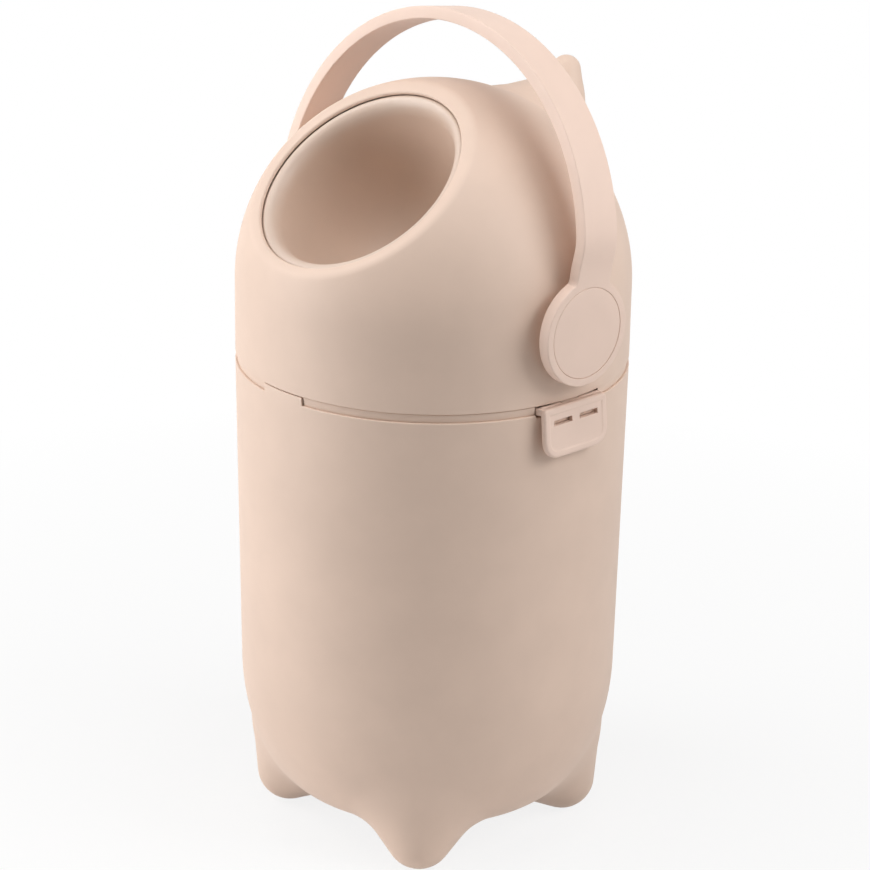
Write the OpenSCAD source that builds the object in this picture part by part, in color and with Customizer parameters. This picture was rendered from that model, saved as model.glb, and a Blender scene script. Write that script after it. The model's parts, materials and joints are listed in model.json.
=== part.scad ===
// Nappy bin.  A bucket on four stubby feet, a ring that grips the bag, and a domed
// head with a turning cup: swinging the carrying handle forwards tips the cup over.
// Millimetres, +Z up.  The origin is on the floor under the bucket's middle.
// The mouth looks towards -Y, and the handle turns about the X axis.

/* [Bucket] */
// Outer radius of the bin where bucket and head meet
body_r = 145; // [143:1:148]
// Height of the bucket's rim above the floor
rim_z = 366.5; // [360:0.5:372]
// Wall thickness of the bucket and the head
wall = 2.6; // [2.4:0.1:2.8]
// How much narrower the bucket gets for each millimetre down
draft = 0.014; // [0.01:0.001:0.016]
// Clearance between the bucket's underside and the floor
belly_z = 28; // [27:1:30]
// Height over which the bottom edge is rounded
belly_h = 100; // [98:1:104]
// Width over which the bottom edge is rounded
belly_w = 52; // [48:1:54]

/* [Feet] */
// Distance of each foot's tip from the bin's axis
foot_reach = 105.5; // [104:0.5:107]
// Radius of a foot's rounded tip
foot_r = 24.7; // [24.2:0.1:25.5]
// Radius of the flat under each foot
foot_flat_r = 11; // [10:0.5:11.5]
// Thickness of the grip pad let into each foot
pad_h = 3; // [2.5:0.5:3.5]

/* [Bag ring] */
// Height of the ring's visible band
band_h = 6; // [5.5:0.5:6.5]
// How far the ring's skirt reaches down inside the bucket
skirt_h = 17; // [15:1:20]
// Half the angle taken by the key at the front of the rim
key_angle = 8; // [7:0.5:9]

/* [Head] */
// Height of the handle's axis above the rim
hub_rise = 58.5; // [58:0.5:59]
// How far the dome's centre stands above the handle's axis
dome_rise = 2.6; // [2:0.1:3]
// Tilt of the mouth from the horizontal
mouth_tilt = 39; // [38:0.5:40]
// Distance from the hub axis to the mouth's outer face
mouth_depth = 116; // [115.5:0.5:116.5]
// Radius of the mouth
mouth_r = 80; // [79:0.5:80.5]

/* [Turning cup] */
// Radius of the ball that closes the mouth when the cup is tipped
ball_r = 138; // [137.5:0.1:138.2]
// Wall thickness of the ball and the cup
ball_wall = 2.4; // [2:0.1:2.6]
// Half the width of the ball between its flat sides
ball_half = 120; // [118:1:121]
// Inner radius of the cup at its mouth
cup_r = 74.7; // [74:0.1:75]
// Depth of the cup
cup_depth = 103; // [95:1:104]
// How far the handle and the cup turn forwards
turn = 130; // [120:1:131]

/* [Handle] */
// Outer radius of the handle's arch
arch_r = 163.1; // [162.7:0.2:163.5]
// Thickness of the handle's band
band_t = 9; // [8.6:0.1:9.2]
// Width of the handle's band
band_w = 32.5; // [31:0.5:33]
// Height of the arch's centre above the hub axis
arch_rise = 36; // [35:0.5:37]
// How far the handle leans back at rest
lean = 8; // [7.5:0.1:8.5]
// Radius of the disc at each end of the handle
hub_r = 38.5; // [37.5:0.5:39]
// Radius of the cap let into each disc
cap_r = 32.7; // [32:0.1:33]

/* [Latches] */
// Width of a latch
latch_w = 63; // [61:1:64]
// Length of a latch below its pin
latch_drop = 36; // [34:1:37]
// Thickness of a latch
latch_t = 2.8; // [2.6:0.1:3]
// Angle at which a released latch stands off the bucket
latch_lean = 5.5; // [5.5:0.1:6]
// Length of each of the latch's two slots
slot_w = 18; // [17:0.5:18.5]
// Height of the slots
slot_h = 4; // [3.8:0.1:4]

/* [Hidden] */
$fn = 128;

shell_colour = "#E3C9B6";
inner_colour = "#D2B39E";
seal_colour = "#B9A79B";
pad_colour = "#8F8077";
bush_colour = "#F1EEE8";
steel_colour = "#B8BCC0";

gap = 0.4;                       // clearance between the nesting rings
seam = 0.5;                      // open seam between the ring's band and the head
head_z = rim_z + band_h + seam;  // lower edge of the head
hub_z = rim_z + hub_rise;        // the handle's axis
dome_z = hub_z + dome_rise;      // centre of the dome's sphere
inner_r = body_r - wall;         // inside of the bucket's rim and of the head
ring_r = inner_r - gap;          // outside of the ring's skirt
ring_bore_r = ring_r - 2.4;      // inside of the ring
spigot_r = ring_bore_r - gap;    // outside of the collar's spigot
screw_ring_r = inner_r - 3.8;    // radius of the collar screws' circle

// A foot swells from its tip to a root that melts into the bucket
foot_tip_z = foot_r - 3.5;       // height of the tip's centre
foot_root = 80;                  // distance of the root's centre from the axis
foot_root_z = 64;                // height of the root's centre
foot_root_r = 53.5;              // radius of the root

rim_plate = 2.8;                 // thickness of the flat rim round the mouth

// The hub, from the cup's side disc out to the handle's face
hub_face = 158.5;                // outer face of the handle's discs
hub_back = 149.5;                // inner face of the handle's discs
boss_face = 148.2;               // outer face of the head's boss
boss_inner = 137;                // inner face of the head's boss
bush_r = 19;                     // outer radius of the bush
shaft_r = 15;                    // bore of the bush
shaft_play = 0.05;               // the shaft's radial clearance in the bush
stop_in = 25;                    // inner radius of the stop tooth and lug
stop_out = 30;                   // outer radius of the stop tooth and lug
tooth_from = 165;                // where the fixed tooth begins
tooth_angle = 150;               // angle that the fixed tooth takes
stop_play = 0.4;                 // angle left over at the stops
lug_angle = 360 - turn - tooth_angle - stop_play;
drive_w = 18;                    // side of the handle's square drive

// The handle's legs rise from the discs and run smoothly into the round arch
arch_in = arch_r - band_t;       // inner radius of the arch
arch_mid = arch_r - band_t / 2;  // radius of the middle of its section
leg_foot = 40;                   // height above the hub where a leg leaves the disc's plane
leg_top = 75;                    // height above the hub where it meets the arch

// The latch's pin, and the lug that carries it
pin_r = 1.5;
pin_x = body_r - 2;
pin_z = rim_z + 2.9;
knuckle_r = 2.6;
lug_half = 8.5;
leaf_x = 3;                      // from the pin's axis to the latch's inner face
slot_z = -9.4;                   // centre of the slots, below the pin
slot_gap = 3.6;                  // from the latch's middle to each slot
latch_nook = latch_w / 2 + 1.8;  // half the width of the recess for the hinge

// ---- helpers --------------------------------------------------------------------

// A copy on the right for s = 1, and its mirror image on the left for s = -1
module side(s) {
  if (s > 0) children();
  else mirror([1, 0, 0]) children();
}

// A cylinder along X at the height of the hub axis
module hub_cyl(x0, x1, r) {
  translate([x0, 0, hub_z]) rotate([0, 90, 0]) cylinder(h = x1 - x0, r = r);
}

// The frame of the mouth: its Z axis runs from the hub axis out through the mouth
module at_mouth() {
  translate([0, 0, hub_z]) rotate([mouth_tilt, 0, 0]) children();
}

// A ring with a rectangular section, standing on z0
module tube(z0, z1, r_in, r_out) {
  translate([0, 0, z0]) difference() {
    cylinder(h = z1 - z0, r = r_out);
    translate([0, 0, -1]) cylinder(h = z1 - z0 + 2, r = r_in);
  }
}

// A limb with round ends, from a (radius ra) to b (radius rb)
module limb(a, ra, b, rb) {
  d = b - a;
  len = norm(d);
  slope = asin((rb - ra) / len);
  translate(a) rotate([0, acos(d[2] / len), atan2(d[1], d[0])])
    rotate_extrude() intersection() {
      union() {
        circle(r = ra);
        translate([0, len]) circle(r = rb);
        polygon([[0, 0], [ra * cos(slope), -ra * sin(slope)],
                 [rb * cos(slope), len - rb * sin(slope)], [0, len]]);
      }
      translate([0, -ra]) square([ra + rb, len + ra + rb]);
    }
}

// A sector of a ring along X at the hub: angles are counted from +Z towards -Y
module hub_sector(x0, x1, r_in, r_out, from, to) {
  translate([x0, 0, hub_z]) rotate([0, 90, 0]) rotate([0, 0, 180 + from])
    rotate_extrude(angle = to - from) translate([r_in, 0]) square([r_out - r_in, x1 - x0]);
}

// A countersunk or pan-headed screw along +Z, with its head's top at z = 0
module screw(r, length, head_r, head_h, sunk) {
  translate([0, 0, -length]) cylinder(h = length, r = r, $fn = 32);
  translate([0, 0, -head_h]) cylinder(h = head_h, r1 = sunk ? r : head_r, r2 = head_r, $fn = 32);
}

// ---- bucket ---------------------------------------------------------------------

// Outer radius of the bucket's side at height z
function side_r(z) = body_r - draft * (rim_z - z);

// The bucket's outline, drawn in by inset and cut off at top
function bucket_outline(inset, top) = concat(
  [[0, belly_z + inset]],
  [for (t = [0 : 7.5 : 90])
    let (z = belly_z + inset + belly_h * (1 - cos(t)))
      [side_r(z) - inset - belly_w * (1 - sin(t)), z]],
  [[side_r(top) - inset, top], [0, top]]);

module bucket_form(inset, top) {
  rotate_extrude() polygon(bucket_outline(inset, top));
}

// The four feet's outer form, or their hollow when inset is the wall and the tips'
// centres are lifted, which leaves a thick sole for the pads
module feet(inset, lift) {
  for (a = [45 : 90 : 315])
    rotate([0, 0, a])
      limb([foot_reach, 0, foot_tip_z + lift], foot_r - inset,
           [foot_root, 0, foot_root_z], foot_root_r - inset);
}

// The places of the grip pads: left is -X, and front is -Y
module at_foot(x, y) {
  translate([x, y, 0] * foot_reach / sqrt(2)) children();
}

// The two catches on each side of the rim, which a closed latch takes into its slots
module catches() {
  for (s = [-1, 1], y = [-1, 1])
    side(s) translate([inner_r + 0.2, y * (slot_gap + slot_w / 2) - 8.2, pin_z + slot_z - 1.3])
      cube([pin_x + leaf_x + 0.7 - inner_r - 0.2, 16.4, 2.6]);
}

module bucket() {
  color(shell_colour) difference() {
    union() {
      bucket_form(0, rim_z + band_h - 0.2);
      feet(0, 0);
      catches();
    }
    // The rim is cut down, but for the key at the front that stands in the ring's notch
    difference() {
      translate([0, 0, rim_z]) cylinder(h = 20, r = body_r + 20);
      front_wedge(key_angle);
    }
    bucket_form(wall, rim_z + 20);
    feet(wall, pad_h + 3);
    // The feet stand flat, and each has a recess for its pad
    translate([-200, -200, -20]) cube([400, 400, 20.5]);
    for (x = [-1, 1], y = [-1, 1])
      at_foot(x, y) cylinder(h = pad_h, r = foot_flat_r);
    // The latches' hinges dip below the rim
    for (s = [-1, 1])
      side(s) translate([inner_r - 25, -latch_nook, rim_z - 1.8]) cube([60, 2 * latch_nook, 10]);
  }
}

// A wedge of the given half angle about the front, as high as the head's joint
module front_wedge(half) {
  translate([0, 0, rim_z - 10]) rotate([0, 0, -90 - half])
    rotate_extrude(angle = 2 * half) square([200, 40]);
}

module foot_pad(x, y) {
  color(pad_colour) at_foot(x, y) cylinder(h = pad_h, r = foot_flat_r - 0.1);
}

// ---- bag ring -------------------------------------------------------------------

module bag_ring() {
  color(shell_colour) difference() {
    union() {
      tube(rim_z, rim_z + band_h, ring_bore_r, body_r);
      tube(rim_z - skirt_h, rim_z + 1, ring_bore_r, ring_r);
    }
    // Room for the rim's key
    difference() {
      front_wedge(key_angle + 0.35);
      translate([0, 0, rim_z - 12]) cylinder(h = 40, r = ring_r);
    }
    // Room for the hinges of the latches, and for the lugs that carry them
    for (s = [-1, 1])
      side(s) translate([ring_bore_r - 10, -latch_nook, rim_z - 3]) cube([30, 2 * latch_nook, 20]);
  }
}

// ---- head -----------------------------------------------------------------------

// The dome and the short wall under it, drawn in by inset
module dome_form(inset, bottom) {
  rotate_extrude() intersection() {
    union() {
      translate([0, dome_z]) circle(r = body_r - inset);
      translate([0, bottom]) square([body_r - inset, dome_z - bottom]);
    }
    translate([0, bottom]) square([200, 300]);
  }
}

// Everything beyond a plane square to the mouth's axis
module beyond(depth) {
  at_mouth() translate([-200, -200, depth]) cube([400, 400, 200]);
}

// The tail at the back of the head, with the ridge that leads up to it
module tail() {
  tail_limbs(0);
  limb([0, 72, hub_z + 108], 26, [0, 120, hub_z + 115], 20);
}

// The tail alone, or its hollow when inset is the wall
module tail_limbs(inset) {
  limb([0, 131, hub_z + 137], 11 - inset, [0, 122, hub_z + 100], 23 - inset);
  limb([0, 122, hub_z + 100], 23 - inset, [0, 96, hub_z + 55], 44 - inset);
}

module head_shell() {
  color(shell_colour) difference() {
    union() {
      difference() {
        union() {
          dome_form(0, head_z);
          tail();
        }
        beyond(mouth_depth);
        difference() {
          dome_form(wall, head_z - 1);
          beyond(mouth_depth - rim_plate);
        }
        at_mouth() translate([0, 0, 80]) cylinder(h = 60, r = mouth_r);
        tail_limbs(wall);
      }
      // Bosses for the bushes
      for (s = [-1, 1]) side(s) {
        hub_cyl(boss_inner, boss_face, 26);
        intersection() {
          hub_cyl(boss_inner, body_r, 34);
          dome_form(1, head_z);
        }
      }
      // Bosses for the collar's screws
      for (a = [30 : 60 : 330])
        rotate([0, 0, a]) translate([screw_ring_r, 0, head_z + 6]) cylinder(h = 7, r = 4.2, $fn = 32);
    }
    for (s = [-1, 1]) side(s) {
      hub_cyl(boss_inner - 5, boss_face + 5, bush_r);
      for (a = [180 : 60 : 300])
        translate([0, 0, hub_z]) rotate([a, 0, 0]) translate([boss_inner, 0, 22.5])
          rotate([0, 90, 0]) translate([0, 0, -1]) cylinder(h = 8, r = 1.25, $fn = 24);
    }
    for (a = [30 : 60 : 330])
      rotate([0, 0, a]) translate([screw_ring_r, 0, head_z + 5]) cylinder(h = 7, r = 1.25, $fn = 24);
  }
}

// The collar closes the head from below: it centres the head in the bag ring, and
// its lugs carry the latches' pins
module head_collar() {
  color(inner_colour) difference() {
    union() {
      tube(head_z - seam, head_z + 6, body_r - 11, inner_r - 0.2);
      tube(head_z - 20, head_z + 1, spigot_r - wall, spigot_r);
      for (s = [-1, 1]) side(s) {
        translate([spigot_r - 1.5, -lug_half, pin_z - knuckle_r])
          cube([pin_x - spigot_r + 1.5, 2 * lug_half, head_z - 0.1 - pin_z + knuckle_r]);
        translate([pin_x, lug_half, pin_z]) rotate([90, 0, 0]) cylinder(h = 2 * lug_half, r = knuckle_r);
      }
    }
    for (s = [-1, 1])
      side(s) translate([pin_x, 40, pin_z]) rotate([90, 0, 0]) cylinder(h = 80, r = pin_r + 0.05, $fn = 48);
    for (a = [30 : 60 : 330])
      rotate([0, 0, a]) translate([screw_ring_r, 0, head_z - 21]) {
        cylinder(h = 30, r = 1.6, $fn = 24);
        cylinder(h = 23.5, r = 3.2, $fn = 32);
      }
  }
}

module collar_screws() {
  color(steel_colour)
    for (a = [30 : 60 : 330])
      rotate([0, 0, a]) translate([screw_ring_r, 0, head_z + 0.3]) rotate([180, 0, 0])
        screw(1.25, 10, 2.8, 2.2, false);
}

// The wiper between the dome and the ball, just inside the mouth
module mouth_seal() {
  color(seal_colour) at_mouth() rotate_extrude() intersection() {
    difference() {
      circle(r = inner_r);
      circle(r = ball_r + 0.6);
    }
    translate([mouth_r + 2, 60]) square([11, mouth_depth - rim_plate - 60.05]);
  }
}

// A flanged bush with the fixed tooth that stops the cup at both ends of its turn
module bush(s) {
  color(bush_colour) side(s) difference() {
    union() {
      hub_cyl(boss_inner - 3, boss_face + 0.6, bush_r - 0.05);
      hub_cyl(boss_inner - 3, boss_inner, 31);
      hub_sector(boss_inner - 12.5, boss_inner - 2, stop_in, stop_out, tooth_from, tooth_from + tooth_angle);
    }
    hub_cyl(boss_inner - 6, boss_face + 2, shaft_r);
    for (a = [180 : 60 : 300])
      translate([0, 0, hub_z]) rotate([a, 0, 0]) translate([boss_inner - 3, 0, 22.5])
        rotate([0, 90, 0]) {
          translate([0, 0, -12]) cylinder(h = 20, r = 1.5, $fn = 24);
          translate([0, 0, -12]) cylinder(h = 13.4, r = 2.4, $fn = 24);
        }
  }
}

module bush_screws() {
  color(steel_colour)
    for (s = [-1, 1], a = [180 : 60 : 300])
      side(s) translate([0, 0, hub_z]) rotate([a, 0, 0]) translate([boss_inner - 3, 0, 22.5])
        rotate([0, -90, 0]) screw(1.25, 7, 2.2, 1.4, false);
}

// ---- latches --------------------------------------------------------------------

module latch_pin(s) {
  color(steel_colour) side(s)
    translate([pin_x, 29, pin_z]) rotate([90, 0, 0]) cylinder(h = 58, r = pin_r, $fn = 48);
}

// A latch leans off the bucket by latch_lean about its pin
module latch(s) {
  color(shell_colour) side(s)
    translate([pin_x, 0, pin_z]) rotate([0, -latch_lean, 0]) difference() {
      union() {
        // The leaf, with round lower corners
        translate([leaf_x, 0, 0]) rotate([90, 0, 90]) linear_extrude(height = latch_t) leaf_outline();
        // The grip lip along its lower edge
        intersection() {
          translate([leaf_x, 0, 0]) rotate([90, 0, 90])
            linear_extrude(height = latch_t + 1.8) leaf_outline();
          translate([0, -latch_w, -latch_drop - 1]) cube([20, 2 * latch_w, 5]);
        }
        // The hinge's two knuckles
        for (y = [-28, lug_half + 0.5]) {
          translate([0, y + 28 - lug_half - 0.5, 0]) rotate([90, 0, 0])
            cylinder(h = 28 - lug_half - 0.5, r = knuckle_r, $fn = 48);
          translate([0, y, -knuckle_r]) cube([leaf_x + 1, 28 - lug_half - 0.5, knuckle_r + 1.9]);
        }
      }
      rotate([90, 0, 0]) translate([0, 0, -40]) cylinder(h = 80, r = pin_r + 0.05, $fn = 48);
      for (y = [-slot_gap - slot_w, slot_gap])
        translate([0, y, slot_z - slot_h / 2]) cube([20, slot_w, slot_h]);
    }
}

module leaf_outline() {
  r = 9;
  translate([-latch_w / 2 + r, -latch_drop]) square([latch_w - 2 * r, latch_drop + 2]);
  translate([-latch_w / 2, -latch_drop + r]) square([latch_w, latch_drop - r + 2]);
  for (s = [-1, 1])
    translate([s * (latch_w / 2 - r), -latch_drop + r]) circle(r = r);
}

// ---- the turning ball and cup ---------------------------------------------------

split = -45;                     // the ball's two shells meet behind the hub axis
seat = 108.6;                    // the cup's flange sits on the ball here
lip_r = 3;                       // radius of the cup's rounded lip
flange_r = sqrt(ball_r * ball_r - seat * seat) - 0.2;
lip_x = cup_r + lip_r;
lip_z = sqrt((ball_r - lip_r) * (ball_r - lip_r) - lip_x * lip_x);

// The ball between its flat sides, drawn in by inset
module ball_form(inset) {
  intersection() {
    sphere(r = ball_r - inset);
    cube([2 * (ball_half - inset), 400, 400], center = true);
  }
}

// A slab across the mouth's axis
module slab(u0, u1) {
  translate([-200, -200, u0]) cube([400, 400, u1 - u0]);
}

module ball_shell() {
  color(inner_colour) at_mouth() difference() {
    intersection() {
      ball_form(0);
      slab(split, seat);
    }
    ball_form(ball_wall);
    // Bores for the trunnions' spigots and their screws
    for (s = [-1, 1]) side(s) {
      translate([100, 0, 0]) rotate([0, 90, 0]) cylinder(h = 40, r = shaft_r + 0.05);
      for (a = [45 : 90 : 315])
        rotate([a, 0, 0]) translate([100, 0, 20]) rotate([0, 90, 0]) cylinder(h = 40, r = 1.6, $fn = 24);
      // Holes for the screws that hold the ball's back
      for (y = [-40, 40])
        translate([100, y, split + 2.5]) rotate([0, 90, 0]) cylinder(h = 40, r = 1.3, $fn = 24);
    }
  }
}

// The ball's back: it fills the mouth once the cup is tipped
module ball_back() {
  color(inner_colour) at_mouth() difference() {
    union() {
      intersection() {
        ball_form(0);
        slab(-200, split);
      }
      // The lip that nests in the other shell
      intersection() {
        ball_form(ball_wall + 0.1);
        slab(split - 4, split + 5);
      }
    }
    ball_form(ball_wall + 0.1 + 2);
    difference() {
      ball_form(ball_wall);
      slab(split - 4, split + 20);
    }
    // Screw holes through the nested lips
    for (s = [-1, 1], y = [-1, 1])
      translate([s * 110, y * 40, split + 2.5]) rotate([0, 90, 0])
        cylinder(h = 30, r = 1.2, center = true, $fn = 24);
  }
}

// Screws that hold the two shells together, through the flat sides
module ball_screws() {
  color(steel_colour) at_mouth()
    for (s = [-1, 1], y = [-1, 1])
      side(s) translate([ball_half + 1.2, y * 40, split + 2.5]) rotate([0, 90, 0])
        screw(1.2, 7, 2.5, 1.2, false);
}

// Inner radius of the cup at a share k of its depth
function bowl_r(k) = cup_r * pow(1 - pow(k, 2.4), 1 / 2.4);
// The steps of depth at which the bowl's outline is drawn
bowl_steps = [for (t = [0 : 7.5 : 90]) sin(t)];

module cup() {
  inner = [for (k = bowl_steps) [bowl_r(k), lip_z - k * cup_depth]];
  outer = [for (i = [len(bowl_steps) - 1 : -1 : 0])
    [i == len(bowl_steps) - 1 ? 0 : bowl_r(bowl_steps[i]) + ball_wall,
     lip_z - bowl_steps[i] * (cup_depth + ball_wall)]];
  lip = [for (a = [0 : 10 : 180])
    if (a >= 60) [lip_x + lip_r * cos(a), lip_z + lip_r * sin(a)]];
  color(inner_colour) at_mouth() rotate_extrude() {
    polygon(concat([[lip_x, lip_z]], lip, [for (i = [1 : len(inner) - 1]) inner[i]], outer));
    // The flange follows the ball's sphere
    intersection() {
      circle(r = ball_r);
      translate([cup_r + 1.5, seat]) square([flange_r - cup_r - 1.5, 40]);
      translate([0, -1]) polygon([[0, 0], [lip_x * 2, lip_z * 2], [400, 0]]);
    }
    translate([cup_r + 1.5, seat]) square([lip_x - cup_r - 0.5, lip_z - seat]);
  }
}

// A trunnion: flange on the ball's flat side, lug for the stop, and the shaft that
// runs in the bush and takes the handle's square drive
module trunnion(s) {
  color(inner_colour) side(s) difference() {
    union() {
      hub_cyl(ball_half - 8, boss_face + 0.8, shaft_r - shaft_play);
      hub_cyl(ball_half, ball_half + 4, 34);
      hub_sector(ball_half + 3, boss_inner - 4, stop_in + 0.5, stop_out, lug_from, lug_from + lug_angle);
    }
    translate([boss_inner, -drive_w / 2, hub_z - drive_w / 2]) cube([40, drive_w, drive_w]);
    hub_cyl(ball_half + 6, hub_face, 2.1);
    hub_cyl(ball_half - 10, ball_half - 2, shaft_r - 3);
    for (a = [45 : 90 : 315])
      translate([0, 0, hub_z]) rotate([mouth_tilt + a, 0, 0]) translate([ball_half + 2, 0, 20])
        rotate([0, 90, 0]) {
          translate([0, 0, -5]) cylinder(h = 20, r = 1.5, $fn = 24);
          cylinder(h = 10, r = 3, $fn = 32);
        }
  }
}

// At rest the lug has just left the end of the tooth that stops it turning back
lug_from = tooth_from + tooth_angle + stop_play / 2;

module trunnion_screws() {
  color(steel_colour)
    for (s = [-1, 1], a = [45 : 90 : 315])
      side(s) translate([0, 0, hub_z]) rotate([mouth_tilt + a, 0, 0])
        translate([ball_half + 4, 0, 20]) rotate([0, 90, 0]) screw(1.45, 10, 2.8, 2, false);
}

// ---- handle ---------------------------------------------------------------------

// The arch lies in a plane that leans back about the hub axis
module in_handle() {
  translate([0, 0, hub_z]) rotate([-lean, 0, 0]) children();
}

// How far a leg has gone over from the disc's plane to the arch at height z
function leg_share(z) = let (t = (z - leg_foot) / (leg_top - leg_foot)) t * t * (3 - 2 * t);

// The middle of a leg's section at height z
function leg_x(z) = (1 - leg_share(z)) * (hub_face + hub_back) / 2
  + leg_share(z) * sqrt(arch_mid * arch_mid - pow(z - arch_rise, 2));

// A point on a leg's outer (s = 1) or inner (s = -1) face, square to the middle line
function leg_face(z, s) =
  let (slope = leg_x(z + 0.5) - leg_x(z - 0.5),
       half = (1 - leg_share(z)) * (hub_face - hub_back) / 2 + leg_share(z) * band_t / 2,
       k = s * half / sqrt(1 + slope * slope))
    [leg_x(z) + k, z - k * slope];

// A leg seen from the front
module leg_outline() {
  polygon(concat(
    [[hub_back + 0.2, 8], [hub_face - 0.2, 8], [hub_face - 0.2, leg_foot]],
    [for (z = [leg_foot + 5 : 5 : leg_top - 5]) leg_face(z, 1)],
    [for (r = [arch_r, arch_in]) [sqrt(r * r - pow(leg_top - arch_rise, 2)), leg_top]],
    [for (z = [leg_top - 5 : -5 : leg_foot + 5]) leg_face(z, -1)],
    [[hub_back + 0.2, leg_foot]]));
}

module handle() {
  color(shell_colour) difference() {
    union() {
      in_handle() {
        difference() {
          translate([0, band_w / 2, arch_rise]) rotate([90, 0, 0])
            rotate_extrude(angle = 180) translate([arch_in, 0]) square([band_t, band_w]);
          translate([-200, -50, 0]) cube([400, 100, leg_top]);
        }
        for (s = [-1, 1]) side(s)
          translate([0, band_w / 2, 0]) rotate([90, 0, 0]) linear_extrude(height = band_w) leg_outline();
      }
      for (s = [-1, 1]) side(s) {
        hub_cyl(hub_back, hub_face, hub_r);
        translate([boss_inner + 1, -drive_w / 2 + 0.1, hub_z - drive_w / 2 + 0.1])
          cube([hub_back - boss_inner, drive_w - 0.2, drive_w - 0.2]);
      }
    }
    for (s = [-1, 1]) side(s) {
      hub_cyl(hub_face - 2.5, hub_face + 8, cap_r + 0.3);
      hub_cyl(hub_face - 6.3, hub_face, 6.3);
      hub_cyl(boss_inner - 5, hub_face, 2.6);
      difference() {
        hub_cyl(hub_face - 6, hub_face, 11.2);
        hub_cyl(hub_face - 7, hub_face + 1, 8.8);
      }
    }
  }
}

module hub_cap(s) {
  color(shell_colour) side(s) {
    hub_cyl(hub_face - 2.5, hub_face, cap_r);
    difference() {
      hub_cyl(hub_face - 5.5, hub_face - 2, 11);
      hub_cyl(hub_face - 6, hub_face - 2.5, 9);
    }
  }
}

module hub_screws() {
  color(steel_colour)
    for (s = [-1, 1])
      side(s) translate([hub_face - 2.6, 0, hub_z]) rotate([0, 90, 0]) difference() {
        screw(2.1, 26, 4.4, 2.6, false);
        translate([0, 0, -1.4]) cylinder(h = 3, r = 2, $fn = 6);
      }
}

module hub_washers() {
  color(steel_colour)
    for (s = [-1, 1]) side(s) difference() {
      hub_cyl(hub_face - 6.3, hub_face - 5.3, 6);
      hub_cyl(hub_face - 7, hub_face - 5, 2.4);
    }
}

// Washers that the handle's discs glide on
module glide_washers() {
  color(bush_colour)
    for (s = [-1, 1]) side(s) difference() {
      hub_cyl(boss_face, boss_face + 1, 26);
      hub_cyl(boss_face - 1, boss_face + 2, 19.5);
    }
}

// ---- the nodes ------------------------------------------------------------------

bucket();
foot_pad(-1, -1);  // foot_pad_front_left
foot_pad(1, -1);  // foot_pad_front_right
foot_pad(-1, 1);  // foot_pad_back_left
foot_pad(1, 1);  // foot_pad_back_right
bag_ring();
head_shell();
head_collar();
collar_screws();
mouth_seal();
bush(-1);  // bush_left
bush(1);  // bush_right
bush_screws();
latch_pin(-1);  // latch_pin_left
latch_pin(1);  // latch_pin_right
latch(-1);  // latch_left
latch(1);  // latch_right
cup();
ball_shell();
ball_back();
ball_screws();
trunnion(-1);  // trunnion_left
trunnion(1);  // trunnion_right
trunnion_screws();
handle();
hub_cap(-1);  // hub_cap_left
hub_cap(1);  // hub_cap_right
hub_screws();
hub_washers();
glide_washers();
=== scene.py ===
"""The looks of the nappy bin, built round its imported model.

Every shape is worked out in millimetres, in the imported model's frame: the floor is z = 0,
the mouth faces -Y, and the handle turns about an axis along X.
"""

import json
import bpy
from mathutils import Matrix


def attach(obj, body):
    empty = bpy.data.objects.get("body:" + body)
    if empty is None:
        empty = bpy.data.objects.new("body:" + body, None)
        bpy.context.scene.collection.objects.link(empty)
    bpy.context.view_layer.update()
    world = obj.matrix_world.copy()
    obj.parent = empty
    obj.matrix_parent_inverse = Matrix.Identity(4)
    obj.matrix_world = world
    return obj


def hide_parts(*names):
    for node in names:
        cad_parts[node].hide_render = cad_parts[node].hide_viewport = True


bl_info = {
    "name": "Nappy bin",
    "version": (1, 0, 0),
    "blender": (4, 5, 0),
    "location": "3D View > Sidebar > Nappy bin",
    "description": "Builds the visible pieces of a nappy bin round its packed model",
    "category": "Add Mesh",
}

from math import acos, asin, atan2, cos, degrees, hypot, pi, radians, sin, sqrt, tan

import bmesh
import bpy
import numpy as np
from mathutils import Matrix, Vector

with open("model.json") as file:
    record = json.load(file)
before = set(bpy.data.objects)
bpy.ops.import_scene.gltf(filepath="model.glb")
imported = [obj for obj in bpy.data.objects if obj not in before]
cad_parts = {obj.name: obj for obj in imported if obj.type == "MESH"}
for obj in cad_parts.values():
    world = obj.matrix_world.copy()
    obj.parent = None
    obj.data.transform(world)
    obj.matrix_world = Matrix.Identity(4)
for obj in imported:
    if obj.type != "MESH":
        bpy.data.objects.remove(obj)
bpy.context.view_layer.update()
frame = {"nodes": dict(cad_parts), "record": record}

MM = 0.001
UP = Vector((0, 0, 1))
SIDES = ((-1, "left"), (1, "right"))  # the sign of X on each side, and its name

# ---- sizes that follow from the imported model, in millimetres ----

WALL = 2.6  # thickness of the bucket's and the head's wall
RIM_Z = 366.5  # the bucket's rim
RIM_FROM = 364.0  # what stands higher than this belongs to the rim
KEY_RISE = 5.8  # how far the key at the front stands above the rim
KEY_ANGLE = 8.0  # half the key's angle
NOOK_HALF = 31.2  # half the width of the recess for a latch's hinge
NOOK_DROP = 1.8  # how far the rim is lowered there
RISER = 0.12  # width of the steps in the rim, in degrees or millimetres
SIDE_X = 100.0  # what is farther out than this belongs to one side
HEAD_Z = 373.0  # the head's lower edge
HUB_Z = 425.0  # the handle's axis
DOME_Z = 427.6  # centre of the dome's sphere
BELLY_Z = 28.0  # underside of the bucket
BELLY_H = 100.0  # height of the rounded bottom edge
BELLY_W = 52.0  # width of the rounded bottom edge
DRAFT = 0.014  # taper of the bucket's side
SKIRT_LOW, SKIRT_TOP = 349.5, 363.5  # the ring's skirt, inside the rim
RING_R = 142.0  # outside of the skirt
RING_BORE = 139.6  # inside of the ring
MOUTH_FACE = 116.0  # the mouth's plane from the hub's axis
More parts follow.
